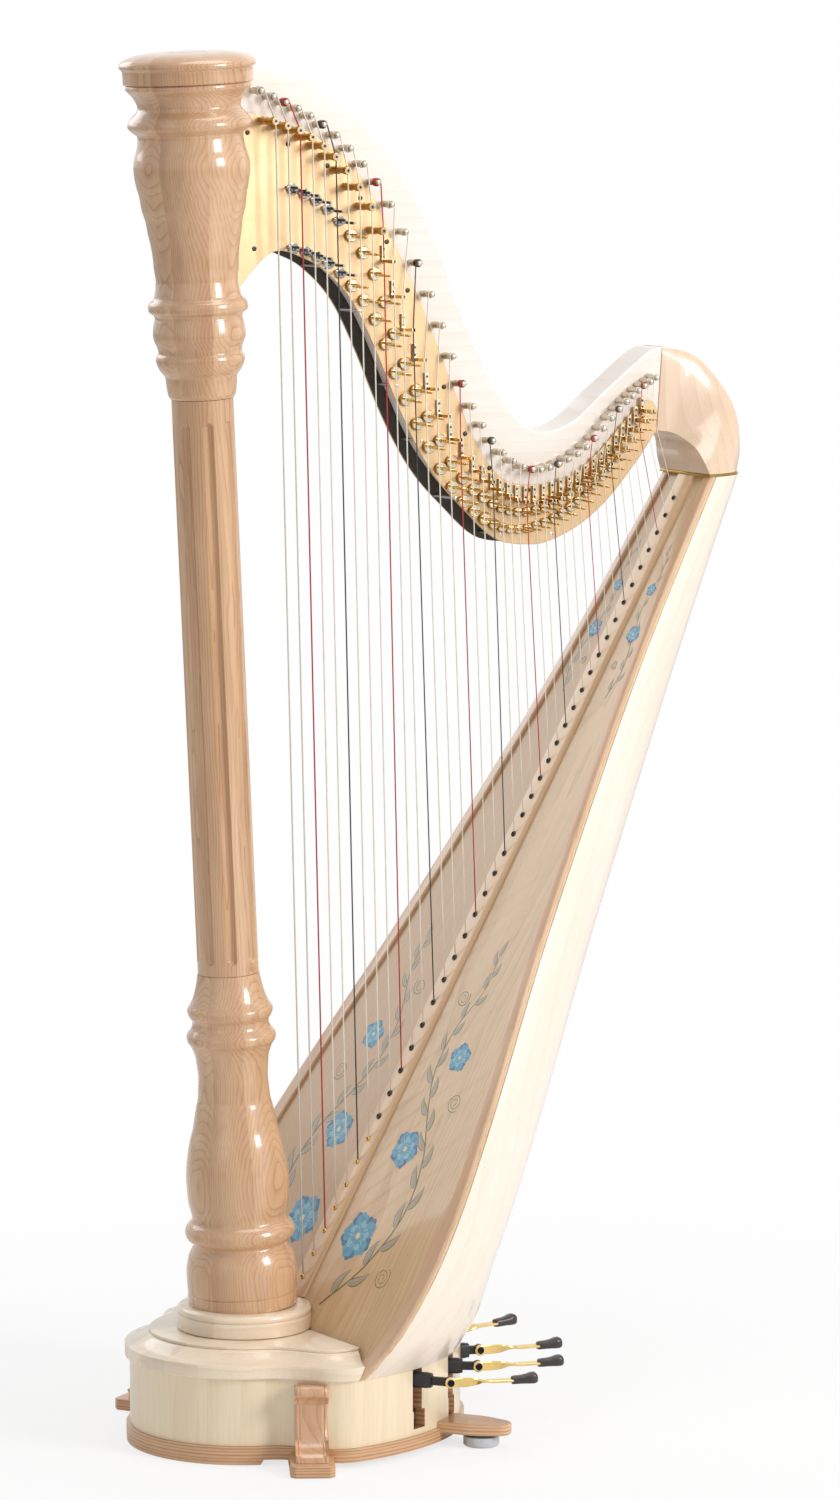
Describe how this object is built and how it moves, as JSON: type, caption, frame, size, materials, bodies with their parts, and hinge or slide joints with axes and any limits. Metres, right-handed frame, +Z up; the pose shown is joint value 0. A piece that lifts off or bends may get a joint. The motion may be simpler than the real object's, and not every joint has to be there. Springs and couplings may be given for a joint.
{
  "type": "pedal harp",
  "caption": "Upright pedal harp with a turned fluted column, curved neck, tapering soundbox, forked discs and folding pedals round a rounded base.",
  "frame": {"origin": "on the floor, under the middle of the harp's bounding box", "axes": "+Z up, +X from the column towards the player, -Y the side that the strings hang on"},
  "size_m": [0.8886, 0.5292, 1.6873],
  "materials": {
    "base_plate": "lacquered plywood, layers showing on the edge",
    "base_wall": "clear gloss lacquer over pale maple veneer",
    "base_top": "clear gloss lacquer over beech",
    "column_plinth": "clear gloss lacquer over beech",
    "column_base": "clear gloss lacquer over beech",
    "column_shaft": "clear gloss lacquer over beech",
    "column_capital": "clear gloss lacquer over beech",
    "column_cap": "clear gloss lacquer over beech",
    "scroll_bracket_left": "clear gloss lacquer over beech",
    "scroll_bracket_right": "clear gloss lacquer over beech",
    "rear_foot_left": "lacquered plywood, layers showing on the edge",
    "rear_foot_right": "lacquered plywood, layers showing on the edge",
    "foot_pad_left": "grey rubber",
    "foot_pad_right": "grey rubber",
    "soundbox_shell": "clear gloss lacquer over very pale maple",
    "soundboard": "satin lacquer over pale spruce, painted plant ornament",
    "string_rib": "gut and nylon, with wire in the bass",
    "soundboard_trim_left": "clear gloss lacquer over beech",
    "soundboard_trim_right": "clear gloss lacquer over beech",
    "shoulder": "clear gloss lacquer over very pale maple",
    "shoulder_band": "polished brass",
    "neck": "clear gloss lacquer over very pale maple",
    "action_plate_left": "satin pale brass",
    "action_plate_right": "satin pale brass",
    "pedal_frame": "bright steel",
    "pedal_lever_d": "black metal and black rubber sleeve",
    "pedal_d": "polished brass",
    "pedal_rod_d": "bright steel",
    "natural_disc_d": "polished brass",
    "sharp_disc_d": "polished brass",
    "pedal_lever_c": "black metal and black rubber sleeve",
    "pedal_c": "polished brass",
    "pedal_rod_c": "bright steel",
    "natural_disc_c": "polished brass",
    "sharp_disc_c": "polished brass",
    "pedal_lever_b": "black metal and black rubber sleeve",
    "pedal_b": "polished brass",
    "pedal_rod_b": "bright steel",
    "natural_disc_b": "polished brass",
    "sharp_disc_b": "polished brass",
    "pedal_lever_e": "black metal and black rubber sleeve",
    "pedal_e": "polished brass",
    "pedal_rod_e": "bright steel",
    "natural_disc_e": "polished brass",
    "sharp_disc_e": "polished brass",
    "pedal_lever_f": "black metal and black rubber sleeve",
    "pedal_f": "polished brass",
    "pedal_rod_f": "bright steel",
    "natural_disc_f": "polished brass",
    "sharp_disc_f": "polished brass",
    "pedal_lever_g": "black metal and black rubber sleeve",
    "pedal_g": "polished brass",
    "pedal_rod_g": "bright steel",
    "natural_disc_g": "polished brass",
    "sharp_disc_g": "polished brass",
    "pedal_lever_a": "black metal and black rubber sleeve",
    "pedal_a": "polished brass",
    "pedal_rod_a": "bright steel",
    "natural_disc_a": "polished brass",
    "sharp_disc_a": "polished brass"
  },
  "bodies": {
    "harp_body": {"base_plate": "base_plate", "base_wall": "base_wall", "base_top": "base_top", "column_plinth": "column_plinth", "column_base": "column_base", "column_shaft": "column_shaft", "column_capital": "column_capital", "column_cap": "column_cap", "scroll_bracket_left": "scroll_bracket_left", "scroll_bracket_right": "scroll_bracket_right", "rear_foot_left": "rear_foot_left", "rear_foot_right": "rear_foot_right", "foot_pad_left": "foot_pad_left", "foot_pad_right": "foot_pad_right", "soundbox_shell": "soundbox_shell", "soundboard": "soundboard", "string_rib": "string_rib", "soundboard_trim_left": "soundboard_trim_left", "soundboard_trim_right": "soundboard_trim_right", "shoulder": "shoulder", "shoulder_band": "shoulder_band", "neck": "neck", "action_plate_left": "action_plate_left", "action_plate_right": "action_plate_right", "pedal_frame": "pedal_frame"},
    "lever_d": {"pedal_lever_d": "pedal_lever_d"},
    "arm_d": {"pedal_d": "pedal_d"},
    "rod_d": {"pedal_rod_d": "pedal_rod_d"},
    "natural_d": {"natural_disc_d": "natural_disc_d"},
    "sharp_d": {"sharp_disc_d": "sharp_disc_d"},
    "lever_c": {"pedal_lever_c": "pedal_lever_c"},
    "arm_c": {"pedal_c": "pedal_c"},
    "rod_c": {"pedal_rod_c": "pedal_rod_c"},
    "natural_c": {"natural_disc_c": "natural_disc_c"},
    "sharp_c": {"sharp_disc_c": "sharp_disc_c"},
    "lever_b": {"pedal_lever_b": "pedal_lever_b"},
    "arm_b": {"pedal_b": "pedal_b"},
    "rod_b": {"pedal_rod_b": "pedal_rod_b"},
    "natural_b": {"natural_disc_b": "natural_disc_b"},
    "sharp_b": {"sharp_disc_b": "sharp_disc_b"},
    "lever_e": {"pedal_lever_e": "pedal_lever_e"},
    "arm_e": {"pedal_e": "pedal_e"},
    "rod_e": {"pedal_rod_e": "pedal_rod_e"},
    "natural_e": {"natural_disc_e": "natural_disc_e"},
    "sharp_e": {"sharp_disc_e": "sharp_disc_e"},
    "lever_f": {"pedal_lever_f": "pedal_lever_f"},
    "arm_f": {"pedal_f": "pedal_f"},
    "rod_f": {"pedal_rod_f": "pedal_rod_f"},
    "natural_f": {"natural_disc_f": "natural_disc_f"},
    "sharp_f": {"sharp_disc_f": "sharp_disc_f"},
    "lever_g": {"pedal_lever_g": "pedal_lever_g"},
    "arm_g": {"pedal_g": "pedal_g"},
    "rod_g": {"pedal_rod_g": "pedal_rod_g"},
    "natural_g": {"natural_disc_g": "natural_disc_g"},
    "sharp_g": {"sharp_disc_g": "sharp_disc_g"},
    "lever_a": {"pedal_lever_a": "pedal_lever_a"},
    "arm_a": {"pedal_a": "pedal_a"},
    "rod_a": {"pedal_rod_a": "pedal_rod_a"},
    "natural_a": {"natural_disc_a": "natural_disc_a"},
    "sharp_a": {"sharp_disc_a": "sharp_disc_a"}
  },
  "joints": [
    {"name": "pedal_press_d", "type": "hinge", "parent": "harp_body", "child": "lever_d", "pos_m": [-0.26011, -0.0422, 0.091], "axis": [0.8116, 0.5842, 0], "range_deg": [0, 14.7], "stiffness_Nm_per_rad": 12, "springref_deg": -17.19},
    {"name": "pedal_fold_d", "type": "hinge", "parent": "lever_d", "child": "arm_d", "pos_m": [-0.13344, -0.21819, 0.091], "axis": [-0.3584, -0.9336, 0], "range_deg": [0, 70]},
    {"name": "rod_lift_d", "type": "slide", "parent": "harp_body", "child": "rod_d", "axis": [-0.0473, 0, 0.9989], "range_m": [0, 0.00854]},
    {"name": "natural_turn_d", "type": "hinge", "parent": "harp_body", "child": "natural_d", "pos_m": [0.04224, 0, 1.15881], "axis": [0, 1, 0], "range_deg": [0, 45.2]},
    {"name": "sharp_turn_d", "type": "hinge", "parent": "harp_body", "child": "sharp_d", "pos_m": [0.04331, 0, 1.13009], "axis": [0, 1, 0], "range_deg": [0, 45.2]},
    {"name": "pedal_press_c", "type": "hinge", "parent": "harp_body", "child": "lever_c", "pos_m": [-0.24797, -0.02994, 0.091], "axis": [0.5757, 0.8176, 0], "range_deg": [0, 12.8], "stiffness_Nm_per_rad": 12, "springref_deg": -17.19},
    {"name": "pedal_fold_c", "type": "hinge", "parent": "lever_c", "child": "arm_c", "pos_m": [-0.05748, -0.16407, 0.091], "axis": [-0.309, -0.9511, 0], "range_deg": [0, 70]},
    {"name": "rod_lift_c", "type": "slide", "parent": "harp_body", "child": "rod_c", "axis": [-0.0473, 0, 0.9989], "range_m": [0, 0.00746]},
    {"name": "natural_turn_c", "type": "hinge", "parent": "harp_body", "child": "natural_c", "pos_m": [0.02559, 0, 1.17965], "axis": [0, 1, 0], "range_deg": [0, 45.2]},
    {"name": "sharp_turn_c", "type": "hinge", "parent": "harp_body", "child": "sharp_c", "pos_m": [0.02677, 0, 1.14836], "axis": [0, 1, 0], "range_deg": [0, 45.2]},
    {"name": "pedal_press_b", "type": "hinge", "parent": "harp_body", "child": "lever_b", "pos_m": [-0.24104, -0.01608, 0.091], "axis": [0.3093, 0.951, 0], "range_deg": [0, 11.6], "stiffness_Nm_per_rad": 12, "springref_deg": -17.19},
    {"name": "pedal_fold_b", "type": "hinge", "parent": "lever_b", "child": "arm_b", "pos_m": [-0.00781, -0.09195, 0.091], "axis": [-0.225, -0.9744, 0], "range_deg": [0, 70]},
    {"name": "rod_lift_b", "type": "slide", "parent": "harp_body", "child": "rod_b", "axis": [-0.0473, 0, 0.9989], "range_m": [0, 0.00678]},
    {"name": "natural_turn_b", "type": "hinge", "parent": "harp_body", "child": "natural_b", "pos_m": [0.11096, 0, 1.11502], "axis": [0, 1, 0], "range_deg": [0, 45.2]},
    {"name": "sharp_turn_b", "type": "hinge", "parent": "harp_body", "child": "sharp_b", "pos_m": [0.11221, 0, 1.09232], "axis": [0, 1, 0], "range_deg": [0, 45.2]},
    {"name": "pedal_press_e", "type": "hinge", "parent": "harp_body", "child": "lever_e", "pos_m": [-0.23852, 0.00192, 0.091], "axis": [-0.037, 0.9993, 0], "range_deg": [0, 11.1], "stiffness_Nm_per_rad": 12, "springref_deg": -17.19},
    {"name": "pedal_fold_e", "type": "hinge", "parent": "lever_e", "child": "arm_e", "pos_m": [0.01416, 0.01128, 0.091], "axis": [0.0349, -0.9994, 0], "range_deg": [0, 70]},
    {"name": "rod_lift_e", "type": "slide", "parent": "harp_body", "child": "rod_e", "axis": [-0.0473, 0, 0.9989], "range_m": [0, 0.0065]},
    {"name": "natural_turn_e", "type": "hinge", "parent": "harp_body", "child": "natural_e", "pos_m": [0.05842, 0, 1.14379], "axis": [0, 1, 0], "range_deg": [0, 45.2]},
    {"name": "sharp_turn_e", "type": "hinge", "parent": "harp_body", "child": "sharp_e", "pos_m": [0.0594, 0, 1.11727], "axis": [0, 1, 0], "range_deg": [0, 45.2]},
    {"name": "pedal_press_f", "type": "hinge", "parent": "harp_body", "child": "lever_f", "pos_m": [-0.24104, 0.01608, 0.091], "axis": [-0.3093, 0.951, 0], "range_deg": [0, 11.6], "stiffness_Nm_per_rad": 12, "springref_deg": -17.19},
    {"name": "pedal_fold_f", "type": "hinge", "parent": "lever_f", "child": "arm_f", "pos_m": [-0.00781, 0.09195, 0.091], "axis": [0.225, -0.9744, 0], "range_deg": [0, 70]},
    {"name": "rod_lift_f", "type": "slide", "parent": "harp_body", "child": "rod_f", "axis": [-0.0473, 0, 0.9989], "range_m": [0, 0.00678]},
    {"name": "natural_turn_f", "type": "hinge", "parent": "harp_body", "child": "natural_f", "pos_m": [0.07327, 0, 1.13419], "axis": [0, 1, 0], "range_deg": [0, 45.2]},
    {"name": "sharp_turn_f", "type": "hinge", "parent": "harp_body", "child": "sharp_f", "pos_m": [0.07432, 0, 1.10663], "axis": [0, 1, 0], "range_deg": [0, 45.2]},
    {"name": "pedal_press_g", "type": "hinge", "parent": "harp_body", "child": "lever_g", "pos_m": [-0.24797, 0.02994, 0.091], "axis": [-0.5757, 0.8176, 0], "range_deg": [0, 12.8], "stiffness_Nm_per_rad": 12, "springref_deg": -17.19},
    {"name": "pedal_fold_g", "type": "hinge", "parent": "lever_g", "child": "arm_g", "pos_m": [-0.05748, 0.16407, 0.091], "axis": [0.309, -0.9511, 0], "range_deg": [0, 70]},
    {"name": "rod_lift_g", "type": "slide", "parent": "harp_body", "child": "rod_g", "axis": [-0.0473, 0, 0.9989], "range_m": [0, 0.00746]},
    {"name": "natural_turn_g", "type": "hinge", "parent": "harp_body", "child": "natural_g", "pos_m": [0.08657, 0, 1.12524], "axis": [0, 1, 0], "range_deg": [0, 45.2]},
    {"name": "sharp_turn_g", "type": "hinge", "parent": "harp_body", "child": "sharp_g", "pos_m": [0.08766, 0, 1.09946], "axis": [0, 1, 0], "range_deg": [0, 45.2]},
    {"name": "pedal_press_a", "type": "hinge", "parent": "harp_body", "child": "lever_a", "pos_m": [-0.26011, 0.0422, 0.091], "axis": [-0.8116, 0.5842, 0], "range_deg": [0, 14.7], "stiffness_Nm_per_rad": 12, "springref_deg": -17.19},
    {"name": "pedal_fold_a", "type": "hinge", "parent": "lever_a", "child": "arm_a", "pos_m": [-0.13344, 0.21819, 0.091], "axis": [0.3584, -0.9336, 0], "range_deg": [0, 70]},
    {"name": "rod_lift_a", "type": "slide", "parent": "harp_body", "child": "rod_a", "axis": [-0.0473, 0, 0.9989], "range_m": [0, 0.00854]},
    {"name": "natural_turn_a", "type": "hinge", "parent": "harp_body", "child": "natural_a", "pos_m": [0.09891, 0, 1.11899], "axis": [0, 1, 0], "range_deg": [0, 45.2]},
    {"name": "sharp_turn_a", "type": "hinge", "parent": "harp_body", "child": "sharp_a", "pos_m": [0.10009, 0, 1.09482], "axis": [0, 1, 0], "range_deg": [0, 45.2]}
  ],
  "couplings": [
    {"joint": "rod_lift_d", "follows": "pedal_press_d", "m_per_rad": 0.0325},
    {"joint": "natural_turn_d", "follows": "pedal_press_d", "ratio": 3.0612},
    {"joint": "sharp_turn_d", "follows": "pedal_press_d", "ratio": 3.0612},
    {"joint": "rod_lift_c", "follows": "pedal_press_c", "m_per_rad": 0.0325},
    {"joint": "natural_turn_c", "follows": "pedal_press_c", "ratio": 3.5156},
    {"joint": "sharp_turn_c", "follows": "pedal_press_c", "ratio": 3.5156},
    {"joint": "rod_lift_b", "follows": "pedal_press_b", "m_per_rad": 0.0325},
    {"joint": "natural_turn_b", "follows": "pedal_press_b", "ratio": 3.8793},
    {"joint": "sharp_turn_b", "follows": "pedal_press_b", "ratio": 3.8793},
    {"joint": "rod_lift_e", "follows": "pedal_press_e", "m_per_rad": 0.0325},
    {"joint": "natural_turn_e", "follows": "pedal_press_e", "ratio": 4.0541},
    {"joint": "sharp_turn_e", "follows": "pedal_press_e", "ratio": 4.0541},
    {"joint": "rod_lift_f", "follows": "pedal_press_f", "m_per_rad": 0.0325},
    {"joint": "natural_turn_f", "follows": "pedal_press_f", "ratio": 3.8793},
    {"joint": "sharp_turn_f", "follows": "pedal_press_f", "ratio": 3.8793},
    {"joint": "rod_lift_g", "follows": "pedal_press_g", "m_per_rad": 0.0325},
    {"joint": "natural_turn_g", "follows": "pedal_press_g", "ratio": 3.5156},
    {"joint": "sharp_turn_g", "follows": "pedal_press_g", "ratio": 3.5156},
    {"joint": "rod_lift_a", "follows": "pedal_press_a", "m_per_rad": 0.0325},
    {"joint": "natural_turn_a", "follows": "pedal_press_a", "ratio": 3.0612},
    {"joint": "sharp_turn_a", "follows": "pedal_press_a", "ratio": 3.0612}
  ]
}
